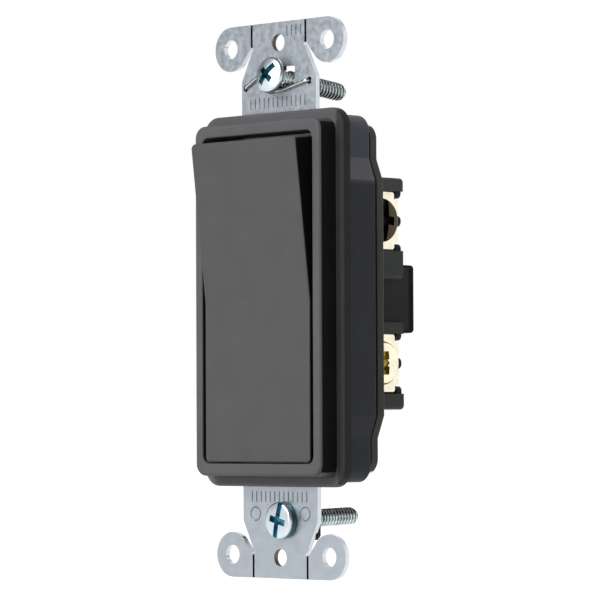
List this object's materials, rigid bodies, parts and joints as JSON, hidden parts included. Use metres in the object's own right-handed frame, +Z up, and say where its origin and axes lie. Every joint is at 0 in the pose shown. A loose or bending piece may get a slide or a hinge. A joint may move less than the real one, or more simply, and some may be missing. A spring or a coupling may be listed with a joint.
{
  "type": "rocker wall switch",
  "caption": "Three-way rocker wall switch with a wide paddle, framed cover, steel mounting strap, side screw terminals and captive mounting screws.",
  "frame": {"origin": "centre of the mounting strap's front face", "axes": "+X right seen from the front, +Y back into the wall box, +Z up the strap"},
  "size_m": [0.0372, 0.0338, 0.1046],
  "materials": {
    "galvanised_strap": "galvanised, satin",
    "spring_steel": "drawn wire",
    "cover_plastic": "fine matte moulding",
    "paddle_plastic": "fine matte moulding",
    "housing_plastic": "semi-matte moulding",
    "zinc_steel": "bright zinc, blue chromate",
    "pin_steel": "ground",
    "brass": "stamped",
    "clamp_brass": "bright stamped",
    "screw_brass": "bright",
    "black_oxide": "dark oxide",
    "green_screw": "green lacquer",
    "silver_contact": "silver alloy",
    "rubber_pad": "matt",
    "fibre": "black fibre"
  },
  "bodies": {
    "root": {"mounting_strap": "galvanised_strap", "self_ground_clip": "spring_steel", "front_cover": "cover_plastic", "rear_housing": "housing_plastic", "assembly_screws": "zinc_steel", "bumper_pads": "rubber_pad", "fixed_contact_tips": "silver_contact", "common_terminal": "brass", "upper_traveler_terminal": "brass", "lower_traveler_terminal": "brass", "upper_screw_retainer": "fibre", "lower_screw_retainer": "fibre"},
    "rocker": {"rocker_paddle": "paddle_plastic", "pivot_pins": "pin_steel", "plunger": "brass", "plunger_spring": "spring_steel"},
    "contact": {"contact_blade": "brass", "moving_contact_tips": "silver_contact"},
    "ground_screw": {"ground_screw": "green_screw"},
    "upper_mounting_screw": {"upper_mounting_screw": "zinc_steel"},
    "lower_mounting_screw": {"lower_mounting_screw": "zinc_steel"},
    "common_clamp": {"common_clamp": "clamp_brass"},
    "common_screw": {"common_screw": "black_oxide"},
    "upper_traveler_clamp": {"upper_traveler_clamp": "clamp_brass"},
    "upper_traveler_screw": {"upper_traveler_screw": "screw_brass"},
    "lower_traveler_clamp": {"lower_traveler_clamp": "clamp_brass"},
    "lower_traveler_screw": {"lower_traveler_screw": "screw_brass"}
  },
  "joints": [
    {"name": "rocker_tilt", "type": "hinge", "parent": "root", "child": "rocker", "pos_m": [0, 0.0009, 0], "axis": [-1, 0, 0], "range_deg": [0, 7]},
    {"name": "contact_rock", "type": "hinge", "parent": "root", "child": "contact", "pos_m": [0, 0.015, 0], "axis": [1, 0, 0], "range_deg": [0, 7.01]},
    {"name": "common_clamp_slide", "type": "slide", "parent": "root", "child": "common_clamp", "axis": [-1, 0, 0], "range_m": [-0.00039, 0.00119]},
    {"name": "common_screw_turn", "type": "hinge", "parent": "common_clamp", "child": "common_screw", "pos_m": [0.0129, 0.0141, 0.0149], "axis": [-1, 0, 0], "range_deg": [-180, 540]},
    {"name": "upper_traveler_clamp_slide", "type": "slide", "parent": "root", "child": "upper_traveler_clamp", "axis": [1, 0, 0], "range_m": [-0.00039, 0.00119]},
    {"name": "upper_traveler_screw_turn", "type": "hinge", "parent": "upper_traveler_clamp", "child": "upper_traveler_screw", "pos_m": [-0.0129, 0.0141, 0.0149], "axis": [1, 0, 0], "range_deg": [-180, 540]},
    {"name": "lower_traveler_clamp_slide", "type": "slide", "parent": "root", "child": "lower_traveler_clamp", "axis": [-1, 0, 0], "range_m": [-0.00039, 0.00119]},
    {"name": "lower_traveler_screw_turn", "type": "hinge", "parent": "lower_traveler_clamp", "child": "lower_traveler_screw", "pos_m": [0.0129, 0.0141, -0.012], "axis": [-1, 0, 0], "range_deg": [-180, 540]},
    {"name": "ground_screw_turn", "type": "hinge", "parent": "root", "child": "ground_screw", "pos_m": [-0.00991, 0.0056, -0.0384], "axis": [1, 0, 0], "range_deg": [-360, 0]},
    {"name": "upper_mounting_screw_turn", "type": "hinge", "parent": "root", "child": "upper_mounting_screw", "pos_m": [0, -0.00179, 0.04207], "axis": [0, 0.9938, -0.1115], "continuous": true},
    {"name": "lower_mounting_screw_turn", "type": "hinge", "parent": "root", "child": "lower_mounting_screw", "pos_m": [0.001, -0.00012, -0.04138], "axis": [0, 0.9997, 0.0236], "continuous": true}
  ],
  "couplings": [
    {"joint": "contact_rock", "follows": "rocker_tilt", "ratio": 1},
    {"joint": "common_screw_turn", "follows": "common_clamp_slide", "rad_per_m": 7915.8},
    {"joint": "upper_traveler_screw_turn", "follows": "upper_traveler_clamp_slide", "rad_per_m": 7915.8},
    {"joint": "lower_traveler_screw_turn", "follows": "lower_traveler_clamp_slide", "rad_per_m": 7915.8}
  ]
}
